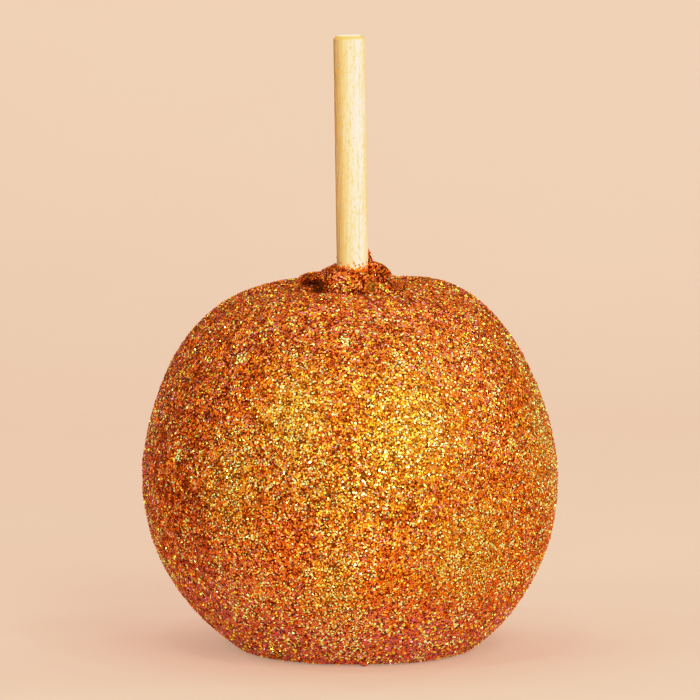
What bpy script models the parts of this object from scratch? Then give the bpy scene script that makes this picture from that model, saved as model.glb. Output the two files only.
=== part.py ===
"""A glitter-dusted caramel apple on a wooden stick.

Two pieces.  The coated apple is one solid: the fruit, its caramel and the
glitter crust read as a single thick skin, so they are one turned body with
gentle ribs, a stem dimple, a lumpy caramel collar and a flat foot where the
warm caramel settled.  The stick is a plain dowel, let into a blind hole.

Metres, +Z up.  The origin is the centre of the flat foot; -Y is the front.
"""
import math

import bmesh
import bpy
from mathutils import Matrix, Vector

MM = 0.001

# --- coated apple ---------------------------------------------------------
EQUATOR_R = 41.7 * MM
EQUATOR_Z = 35.7 * MM
SHOULDER_RISE = 40.2 * MM
SHOULDER_RADIAL_POWER = 3.0
SHOULDER_AXIAL_POWER = 1.7
BELLY_DROP = 43.3 * MM
BELLY_RADIAL_POWER = 1.86
BELLY_AXIAL_POWER = 2.2
BODY_LEAN = -0.022
CROWN_TILT_X = 0.036
CROWN_TILT_Y = 0.012

CROWN_DIP = 4.0 * MM
CROWN_DIP_R = 15.0 * MM
CROWN_DIP_POWER = 3.0
DIMPLE_DEPTH = 5.5 * MM
DIMPLE_R = 8.6 * MM
DIMPLE_POWER = 4.0

RIB_COUNT = 5
RIB_DEPTH = 0.22 * MM
RIB_TURN = math.radians(24.0)
SHOULDER_RIB_DEPTH = 0.55 * MM
SWELL_DEPTH = 0.28 * MM

FOOT_EDGE_R = 0.9 * MM
FOOT_SWAY = 0.9 * MM
FOOT_SWAY_BEARING = math.radians(-25.0)
FOOT_SWAY_HEIGHT = 6.0 * MM

# soft dents pressed into the coat: bearing, height, half width, half height, depth
DENTS = (
    (math.radians(218.0), 27.0 * MM, math.radians(4.0), 15.0 * MM, 0.55 * MM),
    (math.radians(283.0), 63.0 * MM, math.radians(7.0), 5.0 * MM, 0.50 * MM),
    (math.radians(252.0), 57.0 * MM, math.radians(9.0), 7.0 * MM, 0.35 * MM),
    (math.radians(40.0), 30.0 * MM, math.radians(5.0), 13.0 * MM, 0.50 * MM),
    (math.radians(118.0), 52.0 * MM, math.radians(10.0), 8.0 * MM, 0.45 * MM),
)

# --- caramel collar round the stick ---------------------------------------
COLLAR_HEIGHT = 11.0 * MM
COLLAR_R = 6.3 * MM
COLLAR_POWER = 3.6
COLLAR_SWAY = 0.03
COLLAR_SKIRT = 2.2 * MM
COLLAR_SKIRT_BEARING = math.radians(150.0)
COLLAR_SKIRT_SPREAD = math.radians(45.0)

# rises and hollows of the crown beside the collar: bearing, distance, radius, height
CROWN_SWELLS = (
    (math.radians(140.0), 11.5 * MM, 6.0 * MM, 0.9 * MM),
    (math.radians(-52.0), 13.5 * MM, 6.0 * MM, -1.0 * MM),
    (math.radians(-143.0), 8.3 * MM, 2.3 * MM, -2.2 * MM),
    (math.radians(-70.0), 8.4 * MM, 1.5 * MM, -1.4 * MM),
    (math.radians(-2.0), 10.4 * MM, 2.0 * MM, -1.1 * MM),
    (math.radians(84.0), 9.0 * MM, 2.2 * MM, -1.5 * MM),
)

# lumps blended into the collar: bearing, distance, height of centre, radii (out, along, up)
COLLAR_LUMPS = (
    (math.radians(-130.0), 4.8 * MM, 74.5 * MM, (2.3 * MM, 2.6 * MM, 2.7 * MM)),
    (math.radians(-94.0), 4.7 * MM, 74.0 * MM, (2.4 * MM, 3.0 * MM, 2.9 * MM)),
    (math.radians(-62.0), 5.0 * MM, 73.9 * MM, (2.2 * MM, 2.2 * MM, 2.6 * MM)),
    (math.radians(-47.0), 7.4 * MM, 71.8 * MM, (1.8 * MM, 1.5 * MM, 2.7 * MM)),
    (math.radians(-25.0), 7.6 * MM, 72.0 * MM, (2.2 * MM, 2.1 * MM, 3.0 * MM)),
    (math.radians(10.0), 6.0 * MM, 74.0 * MM, (3.0 * MM, 2.7 * MM, 2.9 * MM)),
    (math.radians(14.0), 3.4 * MM, 75.0 * MM, (1.7 * MM, 2.4 * MM, 5.0 * MM)),
    (math.radians(52.0), 5.1 * MM, 74.0 * MM, (3.0 * MM, 2.8 * MM, 2.9 * MM)),
    (math.radians(101.0), 4.9 * MM, 74.4 * MM, (2.6 * MM, 2.9 * MM, 2.6 * MM)),
    (math.radians(143.0), 5.6 * MM, 73.2 * MM, (3.2 * MM, 2.8 * MM, 2.6 * MM)),
    (math.radians(180.0), 4.4 * MM, 74.2 * MM, (2.1 * MM, 2.5 * MM, 3.0 * MM)),
)
LUMP_FULLNESS = 0.85
LUMP_BLEND = 0.6 * MM

# --- stick ----------------------------------------------------------------
STICK_R = 3.175 * MM
STICK_LENGTH = 101.6 * MM
STICK_TOP_Z = 123.1 * MM
STICK_BASE_X = 0.25 * MM
STICK_LEAN = math.radians(-0.9)
STICK_CHAMFER_W = 0.60 * MM
STICK_CHAMFER_H = 0.85 * MM
STICK_TOP_SLANT = 0.055
STICK_SLANT_ZONE = 4.0 * MM
SOCKET_GAP = 0.3 * MM
SOCKET_CLEAR_TOP = 20.0 * MM

# --- resolution -----------------------------------------------------------
AROUND = 72
COLLAR_RINGS = 17
CROWN_RINGS = 4
SHOULDER_RINGS = 11
BELLY_RINGS = 12
FOOT_RINGS = 3
STICK_AROUND = 32
COLLAR_EDGE_R = 12.0 * MM
CROWN_EDGE_R = 17.5 * MM

# --- colours --------------------------------------------------------------
COAT_COLOUR = (0.62, 0.13, 0.025, 1.0)
COAT_ROUGHNESS = 0.38
COAT_METALLIC = 0.35
WOOD_COLOUR = (0.78, 0.55, 0.29, 1.0)
WOOD_ROUGHNESS = 0.6


def clear_scene():
    for obj in list(bpy.data.objects):
        bpy.data.objects.remove(obj, do_unlink=True)


def make_material(name, colour, roughness, metallic):
    material = bpy.data.materials.new(name)
    material.use_nodes = True
    shader = material.node_tree.nodes["Principled BSDF"]
    shader.inputs["Base Color"].default_value = colour
    shader.inputs["Roughness"].default_value = roughness
    shader.inputs["Metallic"].default_value = metallic
    material.diffuse_color = colour
    return material


def make_collection(name):
    collection = bpy.data.collections.new(name)
    bpy.context.scene.collection.children.link(collection)
    return collection


def make_object(name, mesh, collection):
    obj = bpy.data.objects.new(name, mesh)
    collection.objects.link(obj)
    return obj


def smooth_shade(obj):
    for face in obj.data.polygons:
        face.use_smooth = True


def apply_modifier(obj, modifier):
    bpy.ops.object.select_all(action="DESELECT")
    bpy.context.view_layer.objects.active = obj
    obj.select_set(True)
    bpy.ops.object.modifier_apply(modifier=modifier.name)


def boolean(obj, other, operation):
    modifier = obj.modifiers.new(operation.lower(), "BOOLEAN")
    modifier.operation = operation
    modifier.solver = "MANIFOLD"
    modifier.object = other
    apply_modifier(obj, modifier)
    bpy.data.objects.remove(other, do_unlink=True)


def angle_between(a, b):
    return math.remainder(a - b, 2.0 * math.pi)


def bump(distance, reach, power=2.0):
    """A smooth hump of height 1 that fades out past its reach."""
    return math.exp(-(abs(distance / reach) ** power))


def shoulder_height(radius):
    """Height of the shoulder, with the stem dimple sunk into it."""
    share = max(0.0, 1.0 - (radius / EQUATOR_R) ** SHOULDER_RADIAL_POWER)
    rise = SHOULDER_RISE * share ** (1.0 / SHOULDER_AXIAL_POWER)
    dip = CROWN_DIP * bump(radius, CROWN_DIP_R, CROWN_DIP_POWER)
    dimple = DIMPLE_DEPTH * bump(radius, DIMPLE_R, DIMPLE_POWER)
    return EQUATOR_Z + rise - dip - dimple


def rise_at(radius, bearing, place_bearing, distance, reach):
    """A round hump of height 1 standing at a bearing and distance."""
    across = radius * math.sin(angle_between(bearing, place_bearing))
    out = radius * math.cos(angle_between(bearing, place_bearing)) - distance
    return bump(math.hypot(across, out), reach)


def collar_height(radius, bearing):
    """Caramel pooled round the stick, with a skirt, swells and hollows beside it."""
    sway = 1.0 + COLLAR_SWAY * math.sin(bearing) + 0.02 * math.sin(3.0 * bearing + 1.1)
    skirt = bump(angle_between(bearing, COLLAR_SKIRT_BEARING), COLLAR_SKIRT_SPREAD)
    reach = COLLAR_R + COLLAR_SKIRT * skirt
    height = COLLAR_HEIGHT * sway * bump(radius, reach, COLLAR_POWER)
    for place_bearing, distance, place_r, rise in CROWN_SWELLS:
        height += rise * rise_at(radius, bearing, place_bearing, distance, place_r)
    return height


def blend_over(low, high):
    """The higher of two heights, with a small fillet where they meet."""
    return 0.5 * (low + high + math.hypot(low - high, LUMP_BLEND))


def crown_height(radius, bearing):
    """Height of the top: shoulder and collar with the lumps blended in."""
    height = shoulder_height(radius) + collar_height(radius, bearing)
    for lump_bearing, distance, centre, (out_r, along_r, up_r) in COLLAR_LUMPS:
        turn = angle_between(bearing, lump_bearing)
        out = (radius * math.cos(turn) - distance) / out_r
        along = radius * math.sin(turn) / along_r
        inside = 1.0 - out * out - along * along
        if inside > 0.0:
            height = blend_over(height, centre + up_r * inside**LUMP_FULLNESS)
    return height


def shoulder_radius(turn):
    return EQUATOR_R * math.cos(turn) ** (2.0 / SHOULDER_RADIAL_POWER)


def belly_point(turn):
    radius = EQUATOR_R * math.cos(turn) ** (2.0 / BELLY_RADIAL_POWER)
    height = EQUATOR_Z - BELLY_DROP * math.sin(turn) ** (2.0 / BELLY_AXIAL_POWER)
    return radius, height


def ring_profile():
    """Rings from the collar down to the foot, as (radius, height, on_top)."""
    rings = []
    inner = 0.75 * STICK_R
    for step in range(COLLAR_RINGS):
        radius = inner + (COLLAR_EDGE_R - inner) * step / COLLAR_RINGS
        rings.append((radius, 0.0, True))
    for step in range(CROWN_RINGS):
        radius = COLLAR_EDGE_R + (CROWN_EDGE_R - COLLAR_EDGE_R) * step / CROWN_RINGS
        rings.append((radius, 0.0, True))

    start = math.acos((CROWN_EDGE_R / EQUATOR_R) ** (SHOULDER_RADIAL_POWER / 2.0))
    for step in range(SHOULDER_RINGS):
        turn = start * (1.0 - step / SHOULDER_RINGS)
        rings.append((shoulder_radius(turn), 0.0, True))

    lift = FOOT_EDGE_R * 0.45
    stop = math.asin(((EQUATOR_Z - lift) / BELLY_DROP) ** (BELLY_AXIAL_POWER / 2.0))
    for step in range(BELLY_RINGS + 1):
        turn = stop * step / BELLY_RINGS
        radius, height = belly_point(turn)
        rings.append((radius, height, False))

    edge_r, edge_z = belly_point(stop)
    rings.append((edge_r - 0.45 * FOOT_EDGE_R, edge_z * 0.28, False))
    foot_r = edge_r - 1.05 * FOOT_EDGE_R
    for step in range(FOOT_RINGS):
        share = 1.0 - 0.42 * step
        rings.append((foot_r * share, 0.0, False))
    return rings


def unevenness(bearing, height):
    """How far the coat stands out from the even turned form at a place."""
    level = height / (EQUATOR_Z + SHOULDER_RISE - CROWN_DIP)
    rib = RIB_DEPTH + (SHOULDER_RIB_DEPTH - RIB_DEPTH) * max(0.0, level - 0.5) * 2.0
    offset = rib * math.cos(RIB_COUNT * (bearing - RIB_TURN))
    offset += SWELL_DEPTH * math.sin(2.0 * bearing + 5.0 * level)
    offset += 0.4 * SWELL_DEPTH * math.sin(7.0 * bearing - 9.0 * level + 0.7)
    for dent_bearing, dent_z, half_width, half_height, depth in DENTS:
        across = angle_between(bearing, dent_bearing) / half_width
        up = (height - dent_z) / half_height
        offset -= depth * math.exp(-(across * across) - (up * up))
    return offset


def coat_point(radius, height, on_top, bearing):
    """A point of the coat: the turned form with ribs, dents, collar and lean."""
    if on_top:
        height = crown_height(radius, bearing)
        fade = min(1.0, radius / CROWN_EDGE_R)
        offset = unevenness(bearing, height) * fade * fade
        height += 0.6 * offset * (1.0 - min(1.0, radius / EQUATOR_R))
    else:
        offset = unevenness(bearing, height)
        offset *= min(1.0, 0.35 + height / EQUATOR_Z)
    reach = radius + offset * min(1.0, radius / EQUATOR_R + 0.1)
    if not on_top:
        sway = FOOT_SWAY * math.cos(bearing - FOOT_SWAY_BEARING)
        reach += sway * bump(height, FOOT_SWAY_HEIGHT) * radius / EQUATOR_R
    x = reach * math.cos(bearing)
    y = reach * math.sin(bearing)
    crown = max(0.0, height - EQUATOR_Z) / SHOULDER_RISE
    height += crown * (CROWN_TILT_X * x + CROWN_TILT_Y * y)
    gather = bump(radius, CROWN_EDGE_R) if on_top else 0.0
    lean = BODY_LEAN * height
    centre = lean + gather * (stick_axis_x(height) - lean)
    return (x + centre, y, height)


def make_coat(collection):
    """The turned, gently uneven body of apple, caramel and crust."""
    bm = bmesh.new()
    rings = []
    for radius, height, on_top in ring_profile():
        ring = []
        for step in range(AROUND):
            bearing = 2.0 * math.pi * step / AROUND
            ring.append(bm.verts.new(coat_point(radius, height, on_top, bearing)))
        rings.append(ring)

    for upper, lower in zip(rings, rings[1:]):
        for step in range(AROUND):
            after = (step + 1) % AROUND
            bm.faces.new((upper[step], lower[step], lower[after], upper[after]))

    top_z = sum(v.co.z for v in rings[0]) / AROUND
    top = bm.verts.new((BODY_LEAN * top_z, 0.0, top_z))
    bottom = bm.verts.new((0.0, 0.0, 0.0))
    for step in range(AROUND):
        after = (step + 1) % AROUND
        bm.faces.new((top, rings[0][step], rings[0][after]))
        bm.faces.new((bottom, rings[-1][after], rings[-1][step]))

    bmesh.ops.recalc_face_normals(bm, faces=bm.faces)
    mesh = bpy.data.meshes.new("coated_apple")
    bm.to_mesh(mesh)
    bm.free()
    return make_object("coated_apple", mesh, collection)


def stick_axis_x(height):
    """Where the stick's axis stands at a height."""
    return STICK_BASE_X + (height - EQUATOR_Z) * math.tan(STICK_LEAN)


def turned_profile(name, points, steps, collection):
    """A closed body turned round Z from an outer profile, top to bottom."""
    mesh = bpy.data.meshes.new(name)
    verts = [(radius, 0.0, height) for radius, height in points]
    edges = [(index, index + 1) for index in range(len(verts) - 1)]
    mesh.from_pydata(verts, edges, [])
    obj = make_object(name, mesh, collection)
    screw = obj.modifiers.new("turn", "SCREW")
    screw.steps = steps
    screw.render_steps = steps
    screw.use_merge_vertices = True
    screw.merge_threshold = 0.00005
    apply_modifier(obj, screw)
    bm = bmesh.new()
    bm.from_mesh(obj.data)
    bmesh.ops.remove_doubles(bm, verts=bm.verts, dist=0.00001)
    bmesh.ops.recalc_face_normals(bm, faces=bm.faces)
    bm.to_mesh(obj.data)
    bm.free()
    return obj


def lean_stick(obj, length):
    """Stand a body made along Z on the stick's own leaning axis."""
    top = Vector((stick_axis_x(STICK_TOP_Z), 0.0, STICK_TOP_Z))
    turn = Matrix.Rotation(STICK_LEAN, 4, "Y")
    obj.data.transform(Matrix.Translation(top) @ turn @ Matrix.Translation((0.0, 0.0, -length)))


def make_stick(collection):
    """The dowel, chamfered at both ends and cut a little aslant at the top."""
    inner = STICK_R - STICK_CHAMFER_W
    points = (
        (0.0, STICK_LENGTH),
        (inner, STICK_LENGTH),
        (STICK_R - 0.3 * STICK_CHAMFER_W, STICK_LENGTH - 0.55 * STICK_CHAMFER_H),
        (STICK_R, STICK_LENGTH - STICK_CHAMFER_H),
        (STICK_R, STICK_LENGTH - STICK_SLANT_ZONE),
        (STICK_R, STICK_CHAMFER_H),
        (inner, 0.0),
        (0.0, 0.0),
    )
    stick = turned_profile("stick", points, STICK_AROUND, collection)
    for vert in stick.data.vertices:
        if vert.co.z > STICK_LENGTH - 1.5 * STICK_CHAMFER_H:
            vert.co.z += STICK_TOP_SLANT * vert.co.x
    lean_stick(stick, STICK_LENGTH)
    return stick


def cut_socket(coat, helpers):
    """Cut the blind hole that takes the stick, with a thin gap all round."""
    radius = STICK_R + SOCKET_GAP
    depth = STICK_LENGTH + SOCKET_GAP
    points = (
        (0.0, depth + SOCKET_CLEAR_TOP),
        (radius, depth + SOCKET_CLEAR_TOP),
        (radius, 0.0),
        (0.0, 0.0),
    )
    cutter = turned_profile("socket", points, STICK_AROUND, helpers)
    cutter.hide_render = True
    cutter.display_type = "WIRE"
    lean_stick(cutter, depth)
    boolean(coat, cutter, "DIFFERENCE")


def tidy(obj):
    """Weld slivers left by the fusing and turn every face outward."""
    bm = bmesh.new()
    bm.from_mesh(obj.data)
    bmesh.ops.remove_doubles(bm, verts=bm.verts, dist=0.00004)
    bmesh.ops.dissolve_degenerate(bm, edges=bm.edges, dist=0.00001)
    bmesh.ops.triangulate(bm, faces=[face for face in bm.faces if len(face.verts) > 4])
    bmesh.ops.recalc_face_normals(bm, faces=bm.faces)
    bm.to_mesh(obj.data)
    bm.free()


def build():
    clear_scene()
    collection = make_collection("caramel_apple")
    helpers = make_collection("helpers")
    helpers.hide_render = True

    coat = make_coat(collection)
    cut_socket(coat, helpers)
    tidy(coat)
    smooth_shade(coat)
    coat.data.materials.clear()
    coat.data.materials.append(make_material("glitter_caramel", COAT_COLOUR, COAT_ROUGHNESS, COAT_METALLIC))

    stick = make_stick(collection)
    smooth_shade(stick)
    stick.data.materials.clear()
    stick.data.materials.append(make_material("stick_wood", WOOD_COLOUR, WOOD_ROUGHNESS, 0.0))

    bpy.data.collections.remove(helpers)


build()
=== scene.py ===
"""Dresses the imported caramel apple: glitter crust, loose flakes, collar lumps, foot drip, dowel.

It is laid out as an add-on for the 3D view's sidebar and is run as a script. All sizes are in
metres, +Z is up, and the apple faces -Y.
"""
import math

import bpy
import numpy as np
from bpy.props import FloatProperty, FloatVectorProperty, IntProperty, PointerProperty
from mathutils import Matrix, Vector, noise
from mathutils.kdtree import KDTree


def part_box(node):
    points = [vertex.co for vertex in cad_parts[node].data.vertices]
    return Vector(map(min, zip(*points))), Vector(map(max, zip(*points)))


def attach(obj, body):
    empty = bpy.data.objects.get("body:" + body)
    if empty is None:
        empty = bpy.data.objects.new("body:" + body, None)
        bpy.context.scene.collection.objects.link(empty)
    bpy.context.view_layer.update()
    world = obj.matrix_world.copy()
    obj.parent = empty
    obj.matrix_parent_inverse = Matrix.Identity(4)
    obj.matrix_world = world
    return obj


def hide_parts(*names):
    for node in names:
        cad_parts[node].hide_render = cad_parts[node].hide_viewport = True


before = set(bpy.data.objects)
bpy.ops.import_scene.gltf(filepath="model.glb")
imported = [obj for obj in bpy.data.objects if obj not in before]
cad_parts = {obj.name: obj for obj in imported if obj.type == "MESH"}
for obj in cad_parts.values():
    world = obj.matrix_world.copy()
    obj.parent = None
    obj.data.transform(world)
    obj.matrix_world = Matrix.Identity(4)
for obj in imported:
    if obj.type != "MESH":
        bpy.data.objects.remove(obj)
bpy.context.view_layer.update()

bl_info = {
    "name": "Caramel apple",
    "version": (1, 0, 0),
    "blender": (4, 5, 0),
    "location": "3D View > Sidebar > Caramel apple",
    "description": "Glitter-coated caramel apple on a dowel stick",
    "category": "Add Mesh",
}

MM = 0.001
COAT_NODE = "coated_apple"
STICK_NODE = "stick"
COAT_SLOT = "glitter_caramel"
STICK_SLOT = "stick_wood"
GOLD_HIGHLIGHT_ATTRIBUTE = "golden_patch"
BARE_SHADE_ATTRIBUTE = "bare_caramel"
CLEAR_ATTRIBUTE = "clear_caramel"
ROSY_SHEEN_ATTRIBUTE = "rosy_rim"
CLUMP_LIGHT_ATTRIBUTE = "clump_shade"
SIDE_LIGHT_ATTRIBUTE = "across_grain"
CUT_ATTRIBUTE = "cut_end"
PALETTE_MAP = "OFBake"  # each flake's place on this map is its tone and shade


# ---------------- shapes

SINK = 0.66  # share of a bump's height by which the crust is lowered under it
FOOT_HEIGHT = 0.03 * MM
SOCKET_REACH = 3.9 * MM  # collar corners this near to the dowel's axis are drawn in to the dowel
SOCKET_FOOT = 68.0 * MM
SOCKET_NARROWING = 0.90
COLLAR_TOP = 76.0 * MM  # height at which the dowel leaves the collar
COLLAR_FOOT = 66.0 * MM
COLLAR_REACH = 11.0 * MM  # the collar carries fewer flakes out to this distance from the axis
COLLAR_THINNING = 0.5
COLLAR_LUMPS = {
    # name: place and half widths in millimetres, droop to the right in degrees
    "collar_web": ((4.5, 0.7, 76.1), (2.7, 1.5, 1.3), 24),
    "collar_knob": ((-8.2, 2.0, 74.4), (2.9, 2.0, 1.0), -8),
}
BEAD_CUBE = 2.56  # a cube this wide rounds off to about two
LUMP_FLAKES = 170
LUMP_LEAN = 0.7
LUMP_KINDS = {"flame": 0.7, "gold": 0.15}  # share of the tried places that takes a flake of the kind
SPARE_PLACES = 3.2  # places that are tried for each flake, before crowded ones are dropped
FLAKE_CLEARANCE = 3.45 * MM  # no flake of the crust lies nearer to the dowel's axis
FLAKE_FLOOR = 0.42 * MM  # no flake of the crust lies lower
SMALL_FLAKES = 1.6  # above 1, small flakes outnumber large ones
STEEPEST_LEAN = 70  # degrees
SPECK_RADIUS = 3.19 * MM  # distance from the dowel's axis to the flakes stuck to it
SPECK_RAGGED = 1.4  # how uneven the upper edge of these flakes is
SPECK_DEPTH = 0.5
DOWEL_SIDES = 72
DOWEL_RINGS = 60
WAVER_SIZE = 6.0 * MM
RIM_RISE = 0.72  # share of the chamfer's height that is left for the middle of the sloping top
RIM_WEAR = 0.22  # share of the chamfer's width by which the top's edges are worn
RIM_REACH = 1.6 * MM
CUT_START = 0.12  # share of the chamfer's height by which its tone reaches down the side


# ---------------- ground and flakes

FLAKE_ON_MAP = 0.0032  # width of a flake on the palette map
COAT_TONES = (0.05, 0.9)  # lowest place on the palette map, and the span above it
SPECK_TONES = (0.3, 0.65)
LUMP_TONES = (0.1, 0.8)
TONE_LIMITS = (0.03, 0.97)
# lightest tone of the spots' flakes, which paints their glints
SPOT_GLINT_TONE = 0.95
BARE_THINNING = 0.93  # share of the flakes that a bare spot is without
BARE_EDGE = 1.8  # how sharply a bare spot ends
GOLD_TOP = 72.0 * MM  # no golden patch reaches higher than this
GOLD_FADE = 10.0 * MM
# the rosy foot and shoulder are partly mauve glitter, partly painted sheen of the edges
ROSY_FOOT = 1.0  # how rosy the foot is, all the way round
ROSY_FOOT_SPAN = (16.0, 6.0)  # heights in millimetres, from not yet to fully
ROSY_TOP = 0.22  # how rosy the shoulder is
ROSY_TOP_SPAN = (60.0, 70.0)
ROSY_COLLAR = 0.8  # nothing is rosy within this share of the collar's reach
CLUMP_LEVEL = 0.72  # how light the clumps of plain ground are, from 0 to 1
CLUMP_SPREAD = 0.36  # how much one clump differs from the next
DUSKY_DROP = 0.34  # how much darker the clumps of a dusky patch are
DUSKY_SPREAD = 0.19  # how much more they differ
DUSKY_COLLAR = 1.4  # the ground is dusky within this share of the collar's reach
# painted light: the lit patches and the lower part, which faces the floor, get lighter clumps
PAINTED_LIGHT_LIFT = 0.40
FLOOR_LIGHT_LIFT = 0.20  # the lower part, which leans over the floor, is lighter
FLOOR_LIGHT_SPAN = (32.0, 12.0)
EDGE_TINT = (1.0, 0.72, 0.50, 1.0)  # keeps flakes seen edge-on from going white
BARE_AND_SHADED_SPOTS = (
    # places on the collar where the caramel shows: x, y, z and radius in millimetres, how bare
    # it is there, and how clear, from dark brown (0) to amber (1)
    # the first three dark bare spots lie in the collar's hollows: partly bare caramel, partly painted
    # shade
    (-7.4, -1.6, 73.0, 2.9, 1.0, 0.0),
    (-9.0, 0.2, 74.0, 2.3, 0.85, 0.05),
    (1.4, -6.9, 72.3, 1.5, 1.0, 0.0),
    (3.4, -6.1, 73.5, 1.7, 1.0, 1.0),
    (6.0, 1.8, 76.0, 3.0, 0.9, 0.10),
    (3.8, 1.6, 78.0, 2.2, 0.8, 0.05),
    (-2.0, 7.6, 73.4, 2.6, 0.9, 0.0),
)
# The patches of the coat: bearing from the front in degrees (positive to the right), height, half
# width and half height in millimetres, strength
# Golden patches: those facing the front, at bearings from -34 to 35, are painted highlights and painted
# light; those at the sides and back are golden glitter.
GOLD_AND_HIGHLIGHT_PATCHES = (
    (14, 47, 12, 14, 1.0),
    (-18, 51, 8, 10, 0.9),
    (-34, 36, 8, 11, 0.8),
    (-3, 38, 12, 11, 0.65),
    (-7, 15, 6, 13, 0.9),
    (35, 24, 12, 13, 0.8),
    (12, 18, 9, 11, 0.15),
    (-34, 16, 8, 8, 0.5),
    (75, 42, 12, 12, 0.8),
    (118, 26, 11, 14, 0.9),
    (165, 45, 13, 13, 0.9),
    (-150, 24, 12, 14, 1.0),
    (-105, 44, 12, 12, 0.7),
)
# Rosy patches: partly the glitter's mauve tint, partly painted sheen where the coat is seen at a grazing
# angle, at the flanks, foot and shoulder.
ROSY_AND_SHEEN_PATCHES = (
    (-84, 40, 12, 24, 0.8),
    (-50, 12, 17, 11, 1.0),
    (42, 62, 12, 8, 0.15),
    (88, 40, 9, 24, 0.5),
    (50, 8, 13, 6, 0.6),
    (140, 14, 16, 9, 0.8),
    (-130, 60, 14, 8, 0.7),
    (178, 20, 10, 14, 0.6),
)
# Dusky patches: those on the front and left, at bearings from -62 to -2, are painted shade; those at the
# back and right side are darker glitter.
DUSKY_AND_SHADED_PATCHES = (
    (-2, 37, 17, 11, 0.85),
    (-62, 46, 19, 26, 1.0),
    (-28, 66, 16, 8, 0.7),
    (-12, 30, 8, 8, 0.4),
    (150, 34, 16, 24, 0.8),
    (100, 60, 14, 10, 0.6),
)
# painted light: lighter clumps on the lower front and right, where light from the front and the floor
# falls
PAINTED_LIGHT_PATCHES = (
    (16, 17, 24, 13, 1.0),
    (35, 50, 14, 22, 0.3),
    (38, 22, 16, 14, 0.6),
)
SPOT_SHARE = {"pale": 0.9, "gold": 0.5}  # how many of the flakes of a spot are of its kind
FLAKE_AND_GLINT_SPOTS = {
    # places where flakes of one kind lie side by side at their lightest tone, as painted glints: x, y, z
    # and radius in millimetres
    "pale": (
        (-34.7, -22.4, 41.9, 1.3),
        (-22.4, -26.0, 61.5, 1.3),
        (-1.9, -30.2, 65.5, 1.2),
        (-33.0, -24.0, 38.5, 0.8),
        (8.0, -30.5, 63.0, 0.8),
    ),
    "gold": (
        (-1.9, -6.9, 73.2, 0.9),
        (-0.4, -7.1, 73.0, 0.7),
        (5.9, -5.4, 73.2, 1.4),
        (4.9, -0.3, 76.6, 1.0),
    ),
}
FLAKE_KINDS = {
    # share of the flakes on plain ground, in a golden and in a rosy patch, roughness, metallic share,
    # then the factors that turn the kind's colour into its deep and its light end
    "copper": (0.42, 0.05, 0.32, 0.38, 0.80, (0.40, 0.28, 0.30), (2.00, 2.20, 2.00)),
    "flame": (0.26, 0.15, 0.13, 0.34, 0.60, (0.75, 0.50, 0.50), (1.10, 1.50, 2.00)),
    "rosy": (0.04, 0.01, 0.31, 0.36, 0.90, (0.60, 0.50, 0.60), (1.40, 1.70, 1.60)),
    "sage": (0.03, 0.10, 0.03, 0.30, 0.80, (0.40, 0.30, 0.20), (1.50, 1.70, 1.90)),
    "amber": (0.10, 0.10, 0.06, 0.28, 0.75, (0.90, 0.65, 0.60), (1.10, 1.25, 1.80)),
    "gold": (0.11, 0.20, 0.14, 0.22, 0.55, (1.00, 0.75, 0.60), (1.05, 1.20, 1.80)),
    "pale": (0.06, 0.38, 0.03, 0.14, 0.45, (1.00, 0.90, 0.60), (0.72, 1.02, 0.75)),
}


# ---------------- studio

TONE_WHITE = 3.0  # scene light that just burns out
TONE_CURVE = ((0.5, 0.50), (0.75, 0.69), (1.0, 0.80), (1.5, 0.90), (2.0, 0.95))  # light, tone
WHITE_LIGHT = (1.0, 1.0, 1.0)
WARM_LIGHT = (1.0, 0.95, 0.88)
ROOM_LIGHT = (0.92, 0.96, 1.0, 1.0)
GLOW_TINT = (1.15, 0.78, 0.52, 1.0)
LIGHT_AIM = (0.0, 0.0, 0.04)
SOFTBOXES = {
    # name: setting and share of its brightness, bearing from the front and height angle in degrees,
    # distance, width and height in metres, colour
    "key": ("key", 1.0, 30, 30, 1.3, (0.75, 1.0), WARM_LIGHT),
    "fill": ("fill", 1.0, -50, 33, 1.3, (0.45, 0.55), WHITE_LIGHT),
    "front": ("front", 1.0, 12, 3, 1.6, (0.7, 0.36), WHITE_LIGHT),
    "top": ("top", 1.0, 180, 72, 1.2, (1.6, 0.8), WHITE_LIGHT),
    "left_strip": ("side", 0.7, -98, 22, 1.3, (0.14, 1.0), WHITE_LIGHT),
    "right_strip": ("side", 1.0, 98, 22, 1.3, (0.26, 1.0), WHITE_LIGHT),
}
SPARKLE_DISTANCE = 1.5
SPARKLE_SIZE = (0.07, 0.07)
# bearing and height angle of each small lamp, in degrees
SPARKLE_LIGHTS = (
    (-75, 50), (-70, 8), (-125, 30), (-20, 65), (60, 60), (72, 8), (130, 34), (-30, 2), (45, 2)
)
SWEEP_SIZE = 3.6
SWEEP_MIDDLE = (0.0, -1.0, 0.0)
SWEEP_RISE = (0.0, 0.0, 2.2)
SWEEP_FOLD = 0.45
SWEEP_TOP = 0.12  # the backdrop ends low, so that the apple can be seen from behind too


# ---------------- settings


def length(name, description, default, low=0.0):
    """A length property in metres."""
    return FloatProperty(
        name=name, description=description, default=default, min=low, unit="LENGTH", precision=5
    )


def angle(name, description, degrees):
    """An angle property, given in degrees."""
    return FloatProperty(
        name=name, description=description, default=math.radians(degrees), unit="ROTATION"
    )


def share(name, description, default):
    """A property from 0 to 1."""
    return FloatProperty(
        name=name, description=description, default=default, min=0.0, max=1.0, subtype="FACTOR"
    )


def colour(name, description, default):
    """A linear colour property."""
    return FloatVectorProperty(
        name=name, description=description, default=default, size=3, min=0.0, max=1.0, subtype="COLOR"
    )


def brightness(name, description, default):
    """A light's brightness."""
    return FloatProperty(name=name, description=description, default=default, min=0.0)


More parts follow.
